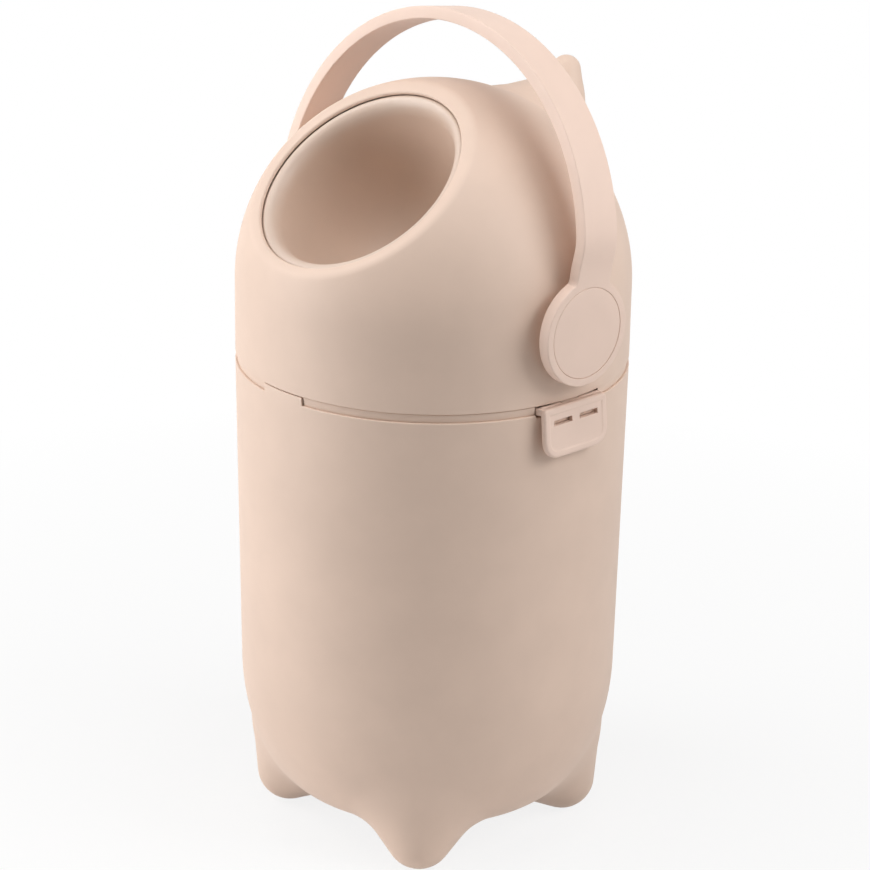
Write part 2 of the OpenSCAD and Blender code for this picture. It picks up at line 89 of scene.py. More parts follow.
HUB_FACE = 158.5  # outer face of the handle's discs
HUB_BACK = 149.5  # inner face of the handle's discs
BOSS_FACE = 148.2  # outer face of the head's bosses
PIN = Vector((143.0, 0.0, 369.4))  # axis of the right latch's pin
LATCH_TOP = 2.0  # a latch's top above its pin
BALL_R = 138.0
BALL_HALF = 120.0  # the ball's flat sides from its middle
BALL_SEAT = 108.6  # the ball's opening from the hub's axis, which carries the cup's flange
BALL_SPLIT = -45.0  # where the ball's two shells meet
BALL_WALL = 2.4
BOWL_R = 74.7  # inside of the cup's lip
ROLL_W, ROLL_H = 7.5, 13.0  # how far the lip rolls in and down to where the bowl begins

# The feet and the tail are hulls of two balls each: (centre, radius, centre, radius)
FEET = [((74.6, 74.6, 24.6), 25.2, (56.57, 56.57, 64.0), 53.5)]
FEET_HOLLOW = [((74.6, 74.6, 30.6), 25.2 - WALL, (56.57, 56.57, 64.0), 53.5 - WALL)]
FEET_FROM = (0, 0, 150)  # the point that they are pushed out from
FEET_TOP = 148.0  # they reach no higher
SOLE_AT, SOLE_R = 74.6, 7.2  # where the feet's pads are from the middle, and their radius
TAIL = [
    ((0, 131, 562), 11, (0, 122, 525), 23),
    ((0, 122, 525), 23, (0, 96, 480), 44),
]
TAIL_RIDGE = [((0, 72, 533), 26, (0, 120, 540), 20)]
TAIL_WEB = [((0, 84, 508), 26, (0, 113, 524), 29)]  # between the ridge and the dome
TAIL_HOLLOW = [(a, ra - WALL, b, rb - WALL) for a, ra, b, rb in TAIL]


def linear(code):
    """A hex sRGB colour as the linear colour that Blender's sockets take."""
    values = [int(code[i : i + 2], 16) / 255 for i in (1, 3, 5)]
    return [v / 12.92 if v <= 0.04045 else ((v + 0.055) / 1.055) ** 2.4 for v in values] + [1.0]


# ---- what a user may change ----


def length(label, about, value):
    """A length, given in millimetres."""
    return bpy.props.FloatProperty(
        name=label, description=about, default=value * MM, unit="LENGTH", min=0.0, precision=4
    )


def angle(label, about, value):
    """An angle, given in degrees."""
    return bpy.props.FloatProperty(
        name=label, description=about, default=radians(value), subtype="ANGLE"
    )


def colour(label, about, code):
    return bpy.props.FloatVectorProperty(
        name=label, description=about, default=linear(code), subtype="COLOR", size=4, min=0, max=1
    )


class BinSizes(bpy.types.PropertyGroup):
    body_r: length("Body radius", "Outer radius where bucket and head meet", 145)
    wall: length("Wall", "Thickness of the bucket's and the head's wall", WALL)
    mouth_r: length("Mouth radius", "Radius of the opening in the head", 80)
    mouth_round: length("Mouth shoulder", "Rounding between the dome and the mouth's flat", 9)
    mouth_tilt: angle("Mouth tilt", "Tilt of the mouth from the horizontal", 39)
    lip_r: length("Cup lip", "Radius of the cup's rolled lip", 3)
    cup_depth: length("Cup depth", "Depth of the cup below its lip", 103)
    hub_r: length("Hub radius", "Radius of the handle's discs", 38.5)
    cap_r: length("Cap radius", "Radius of the cap let into each disc", 32.7)
    arch_r: length("Arch radius", "Outer radius of the handle's arch", 163.1)
    band_t: length("Handle thickness", "Thickness of the handle's band", 9)
    band_edge: length("Handle edge", "Rounding of the handle's edges", 2.2)
    handle_lean: angle("Handle lean", "How far the handle leans back at rest", 8)
    latch_w: length("Latch width", "Width of a latch", 61.5)
    latch_drop: length("Latch length", "Length of a latch below its pin", 35)
    latch_t: length("Latch thickness", "Thickness of a latch's leaf", 4)
    latch_lean: angle("Latch lean", "How far a released latch stands off the bucket", 5.5)


class BinColours(bpy.types.PropertyGroup):
    shell: colour("Shell", "Bucket, ring and head", "#E2C9B8")
    # The grips' colour is the shell's colour made a little lighter. The lightening is painted light
    # on the handle, caps and latches, which the lamps leave too dark.
    grip: colour("Grips", "Handle, caps and latches, which come out of other tools", "#EBD1C2")
    # The cup's colour is the shell's beige made a little darker: painted shade on the cup and the
    # ball, standing in for the shade inside the mouth.
    cup: colour("Cup", "Cup and ball", "#D6C0B0")
    seal: colour("Seal", "Wiper in the mouth", "#B9A79B")
    pad: colour("Pads", "Grip pads under the feet", "#8F8077")
    bush: colour("Bushes", "Bushes and glide washers", "#F1EEE8")
    steel: colour("Steel", "Screws, pins and washers", "#B8BCC0")


def size(name):
    """A length of BinSizes in millimetres."""
    return getattr(bpy.context.scene.bin_sizes, name) / MM


# ---- materials ----


def add_node(tree, kind, output, inputs=(), **settings):
    """The output of a new node with its settings, its values and its links from sockets."""
    node = tree.nodes.new(kind)
    for name, value in settings.items():
        setattr(node, name, value)
    for socket, value in dict(inputs).items():
        if isinstance(value, bpy.types.NodeSocket):
            tree.links.new(value, node.inputs[socket])
        else:
            node.inputs[socket].default_value = value
    return node.outputs[output] if output else None


def noise(tree, place, across, detail, roughness=0.5):
    """Noise with features that are about as wide as across, in millimetres."""
    inputs = {"Vector": place, "Scale": 1 / (across * MM), "Detail": detail, "Roughness": roughness}
    return add_node(tree, "ShaderNodeTexNoise", "Fac", inputs)


def spread(tree, value, low, high, start=0.3, end=0.7):
    """Carries a value over from the range start to end, where noise mostly is, to low to high."""
    inputs = {"Value": value, "From Min": start, "From Max": end, "To Min": low, "To Max": high}
    return add_node(tree, "ShaderNodeMapRange", "Result", inputs)


def shaded(tree, base, share):
    """A colour made lighter or darker by a share."""
    inputs = {0: list(base[:3]), "Scale": share}
    return add_node(tree, "ShaderNodeVectorMath", "Vector", inputs, operation="SCALE")


def calculated(tree, operation, first, second):
    return add_node(tree, "ShaderNodeMath", "Value", {0: first, 1: second}, operation=operation)


def new_material(name):
    """A node material, its empty tree, and the place on the object, in metres."""
    material = bpy.data.materials.new(name)
    material.use_nodes = True
    tree = material.node_tree
    tree.nodes.clear()
    return material, tree, add_node(tree, "ShaderNodeTexCoord", "Object")


def add_surface(tree, shader, kind="Material"):
    """Ends a material's or a world's tree."""
    add_node(tree, "ShaderNodeOutput" + kind, None, {"Surface": shader})


def moulded(name, base, roughness, grain_mm, grain_depth_mm, ior, coat):
    """A moulded plastic or rubber: a fine grain off the tool's spark-eroded steel, flow
    that leaves broad soft patches a little lighter or darker, and a gloss that varies."""
    material, tree, place = new_material(name)
    patches = noise(tree, place, 55, 3.0, 0.55)
    grain = noise(tree, place, grain_mm, 2.0, 0.6)
    relief = {"Height": grain, "Strength": 1.0, "Distance": grain_depth_mm * MM}
    look = {
        "Base Color": shaded(tree, base, spread(tree, patches, 0.972, 1.028)),
        "Roughness": spread(tree, grain, roughness - 0.04, roughness + 0.04),
        "IOR": ior, "Coat Weight": coat, "Coat Roughness": 0.35,
        "Normal": add_node(tree, "ShaderNodeBump", "Normal", relief),
    }
    add_surface(tree, add_node(tree, "ShaderNodeBsdfPrincipled", "BSDF", look))
    return material


def plated(name, base):
    """Zinc-plated steel: bright and faintly bluish, with a cloudy passivated film."""
    material, tree, place = new_material(name)
    clouds = noise(tree, place, 2.5, 4.0, 0.6)
    look = {
        "Base Color": shaded(tree, base, spread(tree, clouds, 0.88, 1.06)),
        "Roughness": spread(tree, clouds, 0.24, 0.4), "Metallic": 1.0,
    }
    add_surface(tree, add_node(tree, "ShaderNodeBsdfPrincipled", "BSDF", look))
    return material


# What makes the material of each slot, and of the grips, its name, its colour and, where it is
# moulded, the roughness, the grain's width and depth in mm, the index of refraction and the
# coat. The real grain is about 0.3 mm wide. It is drawn wider, so that it shows.
MATERIALS = {
    "shell": (moulded, "polypropylene_moulded_matt", "shell", 0.56, 0.9, 0.012, 1.49, 0.0),
    # The grips' material is a lighter copy of the shell's: painted light.
    "grip": (moulded, "polypropylene_moulded_matt_grip", "grip", 0.54, 0.9, 0.012, 1.49, 0.0),
    # The cup's and the ball's material has a darker copy of the shell's colour, which is painted
    # shade. The coat is a real gloss.
    "inner": (moulded, "polypropylene_moulded_satin", "cup", 0.46, 0.9, 0.008, 1.49, 0.35),
    "seal": (moulded, "thermoplastic_elastomer_moulded", "seal", 0.78, 0.7, 0.02, 1.5, 0.0),
    "pad": (moulded, "nitrile_rubber_moulded", "pad", 0.85, 0.6, 0.05, 1.52, 0.0),
    "bush": (moulded, "acetal_moulded_smooth", "bush", 0.3, 0.8, 0.002, 1.48, 0.0),
    "steel": (plated, "steel_zinc_plated", "steel"),
}


def finish_material(key):
    """One of the materials, made when it is first asked for."""
    make, name, base, *figures = MATERIALS[key]
    made = bpy.data.materials.get(name)
    return made or make(name, getattr(bpy.context.scene.bin_colours, base), *figures)


# ---- shapes ----


def arc(x, y, radius, start, end, steps):
    """Points on an arc, with its angles in degrees."""
    angles = [radians(start + (end - start) * i / steps) for i in range(steps + 1)]
    return [(x + radius * cos(a), y + radius * sin(a)) for a in angles]


def rounded(corners, steps=4):
    """A closed outline from corners (x, y, radius), each turned into an arc of its radius."""
    points = []
    for i, (x, y, radius) in enumerate(corners):
        p = Vector((x, y))
        if radius <= 0:
            points.append((x, y))
            continue
        a = (Vector(corners[i - 1][:2]) - p).normalized()
        b = (Vector(corners[(i + 1) % len(corners)][:2]) - p).normalized()
        half = a.angle(b) / 2
        centre = p + (a + b).normalized() * (radius / sin(half))
        u = p + a * (radius / tan(half)) - centre
        v = p + b * (radius / tan(half)) - centre
        turn = u.angle(v)
        for k in range(steps + 1):
            t = turn * k / steps
            w = (u * sin(turn - t) + v * sin(t)) / sin(turn)
            points.append(tuple(centre + w))
    return points


def made_edges(geom):
    return [g for g in geom if isinstance(g, bmesh.types.BMEdge)]


def made_verts(geom):
    return [g for g in geom if isinstance(g, bmesh.types.BMVert)]


def whole(bm):
    return [*bm.verts, *bm.edges, *bm.faces]


def middle(face):
    return face.calc_center_median()


def turn_outward(bm):
    bmesh.ops.recalc_face_normals(bm, faces=bm.faces)


def bevel(bm, edges, offset, segments, clamp=True):
    bmesh.ops.bevel(
        bm, geom=edges, offset=offset, segments=segments, profile=0.5,
        affect="EDGES", material=-1, clamp_overlap=clamp,
    )


def spun(points, steps, closed=True, matrix=None):
    """A solid of revolution about Z from (radius, height) points, as its own bmesh."""
    bm = bmesh.new()
    verts = [bm.verts.new((x, 0, z)) for x, z in points]
    edges = [bm.edges.new(pair) for pair in zip(verts, verts[1:])]
    if closed:
        edges.append(bm.edges.new((verts[-1], verts[0])))
    bmesh.ops.spin(
        bm, geom=verts + edges, cent=(0, 0, 0), axis=UP, dvec=(0, 0, 0),
        angle=2 * pi, steps=steps, use_merge=True, use_duplicate=False,
    )
    poles = [v for v in bm.verts if v.co.x**2 + v.co.y**2 < 1e-6]
    bmesh.ops.remove_doubles(bm, verts=poles, dist=1e-3)
    turn_outward(bm)
    if matrix is not None:
        bmesh.ops.transform(bm, matrix=matrix, verts=bm.verts)
    return bm


def block(low, high, round_by=0.0):
    """A box between two corners, with rounded edges."""
    bm = bmesh.new()
    bmesh.ops.create_cube(bm, size=1)
    low, high = Vector(low), Vector(high)
    bmesh.ops.scale(bm, vec=high - low, verts=bm.verts)
    bmesh.ops.translate(bm, vec=(low + high) / 2, verts=bm.verts)
    if round_by:
        bevel(bm, bm.edges, round_by, 3)
    return bm


def stacked(outlines, place):
    """A solid through outlines with the same number of points, closed at both ends. place
    turns an outline's (x, y) and its height into a point."""
    bm = bmesh.new()
    rings = []
    for points, height in outlines:
        verts = [bm.verts.new(place(x, y, height)) for x, y in points]
        rings.append([bm.edges.new(pair) for pair in zip(verts, verts[1:] + verts[:1])])
    for ring, following in zip(rings, rings[1:]):
        bmesh.ops.bridge_loops(bm, edges=ring + following)
    bmesh.ops.holes_fill(bm, edges=rings[0] + rings[-1], sides=0)
    turn_outward(bm)
    return bm


def as_mesh(name, bm):
    """A mesh from a bmesh, which is freed."""
    mesh = bpy.data.meshes.new(name)
    bm.to_mesh(mesh)
    bm.free()
    return mesh


def as_object(name, data):
    """An object in the scene, at its origin."""
    obj = bpy.data.objects.new(name, data)
    bpy.context.scene.collection.objects.link(obj)
    return obj


def add_part(bm, part, matrix=None):
    """Adds one bmesh to another, and frees the first."""
    mesh = as_mesh("part", part)
    if matrix is not None:
        mesh.transform(matrix)
        if matrix.determinant() < 0:
            mesh.flip_normals()
    bm.from_mesh(mesh)
    bpy.data.meshes.remove(mesh)


def cut(bm, faces, point, normal):
    """Cuts faces at a plane and keeps both sides."""
    geom = {g for f in faces for g in (f, *f.edges, *f.verts)}
    bmesh.ops.bisect_plane(bm, geom=list(geom), dist=1e-4, plane_co=point, plane_no=normal)


def trim(bm, point, normal):
    """Cuts a bmesh at a plane, keeps the side that normal points to, and gives the cut's rim."""
    made = bmesh.ops.bisect_plane(
        bm, geom=whole(bm), dist=1e-4, plane_co=point, plane_no=normal, clear_inner=True
    )
    return made_edges(made["geom_cut"])


def trim_closed(bm, point, normal):
    """Does what trim does to a solid, and closes the cut."""
    bmesh.ops.holes_fill(bm, edges=trim(bm, point, normal), sides=0)
    turn_outward(bm)


def hub_frame(side):
    """The frame whose Z axis runs out along the hub's axis on one side."""
    return Matrix.Translation((0, 0, HUB_Z)) @ Matrix.Rotation(radians(90 * side), 4, "Y")


def mirrored(side):
    return Matrix.Diagonal((side, 1, 1, 1))


def piece(name, bm, body, slot, replaced, look=None):
    """Makes a bmesh in millimetres a piece of the bin, in metres, that rides on a body.
    look names another material than the slot's own."""
    bmesh.ops.scale(bm, vec=(MM, MM, MM), verts=bm.verts)
    mesh = as_mesh(name, bm)
    mesh.shade_smooth()
    mesh.set_sharp_from_angle(angle=radians(32))
    mesh.materials.append(finish_material(look or slot))
    obj = as_object(name, mesh)
    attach(obj, body)
    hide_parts(*replaced)
    return obj


# ---- limbs that melt into a round body ----


def melted(a, b, width):
    """The larger of two lengths, with a rounded changeover between them."""
    near = np.maximum(width - np.abs(a - b), 0)
    return np.maximum(a, b) + near * near / (4 * width)


def limb_reach(rays, origin, limbs):
    """How far each ray runs from origin until it leaves the limbs, or 0 where it misses."""
    reach = np.zeros(len(rays))
    for a, ra, b, rb in limbs:
        for t in np.linspace(0, 1, 49):
            centre = (1 - t) * np.array(a, float) + t * np.array(b, float) - origin
            radius = (1 - t) * ra + t * rb
            along = rays @ centre
            inside = along**2 - centre @ centre + radius * radius
            out = np.where(inside > 0, along + np.sqrt(np.maximum(inside, 0)), 0)
            reach = np.maximum(reach, out)
    return reach


def grow_limbs(verts, origin, groups, width, fold=False, floor=None):
    """Pushes vertices out from origin until they lie on the limbs. Each group of limbs
    melts into what is there over width. fold repeats the limbs in all four corners, and
    floor is the height of a flat sole."""
    origin = np.array(origin, float)
    away = np.array([v.co for v in verts]) - origin
    run = np.linalg.norm(away, axis=1)
    rays = away / run[:, None]
    lookup = np.abs(rays) * [1, 1, 0] + rays * [0, 0, 1] if fold else rays
    for limbs in groups:
        run = melted(run, limb_reach(lookup, origin, limbs), width)
    if floor is not None:
        down = np.minimum(rays[:, 2], -1e-6)
        run = -melted(-run, -(floor - origin[2]) / down, 1.2)
    for v, p in zip(verts, origin + rays * run[:, None]):
        v.co = p


def lowered(limbs, drop):
    return [((*a[:2], a[2] - drop), ra, (*b[:2], b[2] - drop), rb) for a, ra, b, rb in limbs]


# ---- bucket ----


def side_r(z):
    """The bucket's outer radius at a height above its belly."""
    return size("body_r") - DRAFT * (RIM_Z - z)


def turned_bucket():
    """The bucket before its feet are grown, with the key's height all round."""
    wall, top, edge = size("wall"), RIM_Z + KEY_RISE, 0.8
    rim = arc(side_r(top) - edge, top - edge, edge, 0, 90, 5)
    rim += arc(side_r(top) - wall + edge, top - edge, edge, 90, 180, 4)
    return spun(bucket_side(0) + rim + bucket_side(wall)[::-1], 256, closed=False)


def bucket_side(inset):
    """The side from the middle of the bottom to just under the rim. Its points are close
    together where the feet grow."""
    flat_r = side_r(BELLY_Z) - BELLY_W
    points = [(flat_r * k, BELLY_Z + inset) for k in (0, 0.08, 0.16)]
    points += [(r, BELLY_Z + inset) for r in np.arange(20, flat_r - inset - 1, 2.7)]
    for t in np.radians(np.linspace(0, 90, 46)):
        z = BELLY_Z + inset + BELLY_H * (1 - cos(t))
        points.append((side_r(z) - inset - BELLY_W * (1 - sin(t)), z))
    heights = (134, 140, 147, 155, 180, 220, 260, 300, 335, 356, RIM_FROM - 0.4)
    return points + [(side_r(z) - inset, z) for z in heights]


def is_outer(point):
    """Whether a point of the turned bucket belongs to its outer skin."""
    r, z, limit = hypot(point.x, point.y), point.z, size("wall") / 2
    if z < BELLY_Z + limit:
        return True
    if z > BELLY_Z + BELLY_H:
        return r > side_r(z) - limit
    t = acos(1 - (z - BELLY_Z) / BELLY_H)
    return r > side_r(z) - BELLY_W * (1 - sin(t)) - limit * 0.7


def form_key(bm):
    """Lowers the rim everywhere but at the front, which leaves the key."""
    for at in (KEY_ANGLE, KEY_ANGLE + RISER):
        for side, _ in SIDES:
            a = radians(at) * side
            high = [f for f in bm.faces if middle(f).z > RIM_FROM and middle(f).y < 0]
            cut(bm, high, (0, 0, 0), (cos(a), sin(a), 0))
    limit = radians(KEY_ANGLE + RISER / 2)
    for v in bm.verts:
        if v.co.z > RIM_FROM and abs(atan2(v.co.x, -v.co.y)) > limit:
            v.co.z -= KEY_RISE


def form_nooks(bm):
    """Lowers the rim where the latches' hinges stand."""
    for side, _ in SIDES:
        for off in (0, RISER):
            high = [f for f in bm.faces if middle(f).z > RIM_FROM - 8 and abs(middle(f).x) > SIDE_X]
            cut(bm, high, (0, side * (NOOK_HALF + off), 0), (0, 1, 0))
    limit = NOOK_HALF + RISER / 2
    for v in bm.verts:
        if v.co.z > RIM_FROM and abs(v.co.y) < limit and abs(v.co.x) > SIDE_X:
            v.co.z -= NOOK_DROP


def add_catches(bm):
    """The two catches on each side, which a latch's slots take."""
    root, nose, bottom, top = 142.6, 146.7, 358.7, 361.3
    for side, _ in SIDES:
        for y in (-12.6, 12.6):
            catch = block((root, y - 8.2, bottom), (nose, y + 8.2, top), 0.5)
            add_part(bm, catch, mirrored(side))


def add_pad(x, y, where):
    """A round grip pad let into a foot's sole."""
    edge, top = 0.5, 3.0
    outline = [(0, 0), (SOLE_R - 0.7, 0)] + arc(SOLE_R - edge, edge, edge, -90, 0, 4)
    outline += [(SOLE_R, top), (0, top)]
    place = Matrix.Translation((x * SOLE_AT, y * SOLE_AT, 0))
    pad = spun(outline, 64, closed=False, matrix=place)
    piece("sole_pad_" + where, pad, "bucket", "pad", ["foot_pad_" + where])


class NAPPYBIN_OT_bucket(bpy.types.Operator):
    """The tapered bucket with its four hollow feet, the key on its rim and its catches"""

    bl_idname = "nappybin.bucket"
    bl_label = "Bucket"

    def execute(self, context):
        bm = turned_bucket()
        skin, hollow = [], []
        for v in bm.verts:
            if v.co.z < FEET_TOP:
                (skin if is_outer(v.co) else hollow).append(v)
        grow_limbs(skin, FEET_FROM, [FEET], 11, fold=True, floor=0.5)
        grow_limbs(hollow, FEET_FROM, [FEET_HOLLOW], 14, fold=True)
        form_key(bm)
        form_nooks(bm)
        add_catches(bm)
        piece("bucket_shell", bm, "bucket", "shell", ["bucket"])
        for x, across in SIDES:
            for y, along in ((-1, "front"), (1, "back")):
                add_pad(x, y, along + "_" + across)
        return {"FINISHED"}


class NAPPYBIN_OT_bag_ring(bpy.types.Operator):
    """The ring that grips the bag: a skirt inside the rim, and a band between two seams"""

    bl_idname = "nappybin.bag_ring"
    bl_label = "Bag ring"

    def execute(self, context):
        steps = 240
        skirt = [(RING_BORE, SKIRT_LOW, 0.6), (RING_R, SKIRT_LOW, 0.9)]
        skirt += [(RING_R, SKIRT_TOP, 0.3), (RING_BORE, SKIRT_TOP, 0.3)]
        bm = spun(rounded(skirt), steps)
        # The band stands back a little and leans, so that it lies in the head's shade
        body_r, gap = size("body_r"), 0.05
        low, seam, top = SKIRT_TOP + 0.1, RIM_Z + gap, RIM_Z + 6
        corners = [(RING_BORE, low, 0), (RING_R - gap, low, 0), (RING_R - gap, seam, 0)]
        corners += [(body_r - 1.7, seam, 0.2), (body_r - 1.2, top, 0.3), (RING_BORE, top, 1.0)]
        band = rounded(corners)
        key = radians(KEY_ANGLE + 0.35)
        for side, _ in SIDES:
            # From the key's notch at the front round to the latch
            front = spun(band, steps)
            trim_closed(front, (0, 0, 0), (side * cos(key), sin(key), 0))
            trim_closed(front, (0, -NOOK_HALF, 0), (0, -1, 0))
            add_part(bm, front)
        back = spun(band, steps)
        trim_closed(back, (0, NOOK_HALF, 0), (0, 1, 0))
        add_part(bm, back)
        piece("bag_ring_band", bm, "ring", "shell", ["bag_ring"])
        return {"FINISHED"}


# ---- head ----


def mouth_frame(height):
    """The frame whose Z axis runs out through the mouth from a point over the origin."""
    tilt = bpy.context.scene.bin_sizes.mouth_tilt
    return Matrix.Translation((0, 0, height)) @ Matrix.Rotation(tilt, 4, "X")


def grow_loop(bm, edges, targets):
    """Carries an open round edge down through (radius, height) targets."""
    for radius, z in targets:
        made = bmesh.ops.extrude_edge_only(bm, edges=edges)["geom"]
        edges = made_edges(made)
        for v in made_verts(made):
            flat = Vector((v.co.x, v.co.y)).normalized() * radius
            v.co = (flat.x, flat.y, z)
    return edges


def upper_half():
    """The dome with its mouth, down to the height of its centre."""
    tilt = bpy.context.scene.bin_sizes.mouth_tilt
    body_r, mouth_r, shoulder = size("body_r"), size("mouth_r"), size("mouth_round")
    inner_r = body_r - size("wall")
    face = MOUTH_FACE - (DOME_Z - HUB_Z) * cos(tilt)  # the mouth's plane from the centre
    shift = (DOME_Z - HUB_Z) * sin(tilt)  # the bore's offset from the centre
    under = face - 2.8  # the inner side of the mouth's flat
    lip, inner_lip = 1.9, 0.6
    centre_h = face - shoulder
    centre_r = sqrt((body_r - shoulder) ** 2 - centre_h**2)
    meet = degrees(atan2(centre_h, centre_r))
    end = -41  # below the height of the centre all round, in degrees
    outline = arc(0, 0, inner_r, end, degrees(asin(under / inner_r)), 60)
    outline += [(mouth_r + 1, under)]
    outline += arc(mouth_r + inner_lip, under + inner_lip, inner_lip, 270, 180, 3)
    outline += arc(mouth_r + lip, face - lip, lip, 180, 90, 8)
    outline += arc(centre_r, centre_h, shoulder, 90, meet, 10)
    outline += arc(0, 0, body_r, meet, end, 84)[1:]
    bm = spun(outline, 288, closed=False)
    for v in bm.verts:
        r = hypot(v.co.x, v.co.y)
        if v.co.z > under - 0.1 and r < centre_r:
            share = min(1, max(0, (centre_r - r) / (centre_r - mouth_r - lip)))
            v.co.y -= shift * share
    bmesh.ops.transform(bm, matrix=mouth_frame(0), verts=bm.verts)
    trim(bm, (0, 0, 0), UP)
    return bm


def add_lower_half(bm, between):
    """The straight side, from the dome's centre to the head's lower edge."""
    body_r, inner_r = size("body_r"), size("body_r") - size("wall")
    rims = [e for e in bm.edges if e.is_boundary]
    outer = [e for e in rims if e.verts[0].co.length > between]
    inner = [e for e in rims if e.verts[0].co.length <= between]
    low, edge = HEAD_Z - DOME_Z, 0.55
    near = low + edge + 0.2
    down = [(body_r, low * 0.3), (body_r, low * 0.6), (body_r, near)]
    outer = grow_loop(bm, outer, down + arc(body_r - edge, low + edge, edge, 0, -90, 4))
    down = [(inner_r, low * 0.5), (inner_r, near)]
    inner = grow_loop(bm, inner, down + arc(inner_r + edge, low + edge, edge, 180, 270, 4))
    bmesh.ops.bridge_loops(bm, edges=outer + inner)


def open_hubs(bm):
    """A round hole on each side for the handle's shafts."""
    hub, hole_r, near = HUB_Z - DOME_Z, 22.5, 120
    for side, _ in SIDES:
        inside = {
            v for v in bm.verts if v.co.x * side > near and hypot(v.co.y, v.co.z - hub) < hole_r
        }
        doomed = [f for f in bm.faces if inside.issuperset(f.verts)]
        bmesh.ops.delete(bm, geom=doomed, context="FACES")
        rims = [e for e in bm.edges if e.is_boundary and e.verts[0].co.x * side > near]
        for v in {v for e in rims for v in e.verts}:
            off = Vector((v.co.y, v.co.z - hub)).normalized() * hole_r
            v.co.y, v.co.z = off.x, off.y + hub
        bmesh.ops.bridge_loops(bm, edges=rims)


def add_tail(bm, between):
    """The tail and its ridge, grown out of the dome's skin where it is made finer."""
    aim = Vector((0, 131, 562 - DOME_Z)).normalized()
    reach = radians(25)
    near = [f for f in bm.faces if middle(f).normalized().angle(aim) < reach]
    edges = {e for f in near for e in f.edges}
    bmesh.ops.subdivide_edges(bm, edges=list(edges), cuts=2, use_grid_fill=True)
    behind = [v for v in bm.verts if v.co.z > 1 and v.co.y > 0]
    skin = [v for v in behind if v.co.length > between]
    hollow = [v for v in behind if v.co.length <= between]
    groups = [lowered(TAIL + TAIL_WEB, DOME_Z), lowered(TAIL_RIDGE, DOME_Z)]
    grow_limbs(skin, (0, 0, 0), groups, 9)
    grow_limbs(hollow, (0, 0, 0), [lowered(TAIL_HOLLOW, DOME_Z)], 8)


def add_bosses(bm):
    """The bosses that hold the bushes, inside and outside the wall."""
    bore, barrel, flange = 19, 26, 34  # radii
    low, step = 137, 139.6  # the flange's two faces, counted from the middle of the bin
    boss = [(bore, low, 0.3), (flange, low, 0.5), (flange, step, 0.5)]
    boss += [(barrel, step, 0), (barrel, BOSS_FACE, 0.6), (bore, BOSS_FACE, 0.3)]
    for side, _ in SIDES:
        add_part(bm, spun(rounded(boss), 96), hub_frame(side))


class NAPPYBIN_OT_head(bpy.types.Operator):
    """The domed head with its slanted mouth, its hub bosses and its tail"""

    bl_idname = "nappybin.head"
    bl_label = "Head"

    def execute(self, context):
        # Until the bosses are added, heights count from the dome's centre
        between = size("body_r") - size("wall") / 2  # parts the skin from the hollow
        bm = upper_half()
        add_lower_half(bm, between)
        open_hubs(bm)
        add_tail(bm, between)
        bmesh.ops.translate(bm, vec=(0, 0, DOME_Z), verts=bm.verts)
        turn_outward(bm)
        add_bosses(bm)
        piece("head_dome", bm, "head", "shell", ["head_shell"])
        return {"FINISHED"}


# ---- cup and ball ----


def narrowed(depth):
    """The bowl's radius at a share of its depth, as a share of its radius at the top."""
    power = 2.4  # 2 would make a half ball
    return (1 - depth**power) ** (1 / power)


class NAPPYBIN_OT_cup(bpy.types.Operator):
    """The cup in the mouth: a round bowl with a rolled lip and a flange on the ball"""

    bl_idname = "nappybin.cup"
    bl_label = "Cup"

    def execute(self, context):
        lip_r, depth = size("lip_r"), size("cup_depth")
        lip_x = BOWL_R + lip_r
        lip_z = sqrt((BALL_R - lip_r) ** 2 - lip_x**2)
        inner, brink = lip_x - ROLL_W, lip_z + lip_r - ROLL_H
        depths = [sin(radians(90 * i / 60)) for i in range(60, 0, -1)]
        outline = [(inner * narrowed(k), brink - k * (brink - lip_z + depth)) for k in depths]
        for a in np.radians(np.linspace(90, 4, 20)):
            outline.append((lip_x - ROLL_W * sin(a), brink + ROLL_H * cos(a)))
        outline += arc(lip_x, lip_z, lip_r, 90, 62, 5)
        start = degrees(atan2(outline[-1][1], outline[-1][0]))
        edge_r = sqrt(BALL_R**2 - BALL_SEAT**2) - 0.2
        outline += arc(0, 0, BALL_R, start, degrees(acos(edge_r / BALL_R)), 6)[1:]
        outer, deepest = BOWL_R + BALL_WALL, depth + BALL_WALL
        outline += [(edge_r, BALL_SEAT), (outer, BALL_SEAT)]
        outline += [(outer * narrowed(k), lip_z - k * deepest) for k in depths[-2::-1]]
        bm = spun(outline, 240, closed=False, matrix=mouth_frame(HUB_Z))
        piece("cup_bowl", bm, "cup_unit", "inner", ["cup"])
        return {"FINISHED"}


def ball_skin():
    """The ball's outer skin: a sphere between two flat sides with rounded edges."""
    flat_r = sqrt(BALL_R**2 - BALL_HALF**2)
    edge, bore = 3.0, 14.0
    centre_x = BALL_HALF - edge
    centre_r = sqrt((BALL_R - edge) ** 2 - centre_x**2)
    meet = degrees(atan2(centre_x, centre_r))
    half = [(bore, BALL_HALF), (flat_r * 0.5, BALL_HALF)]
    half += arc(centre_r, centre_x, edge, 90, meet, 5)
    half += arc(0, 0, BALL_R, meet, 0, 44)[1:]
    outline = half + [(r, -x) for r, x in half[-2::-1]]
    return spun(outline, 240, closed=False, matrix=Matrix.Rotation(radians(90), 4, "Y"))


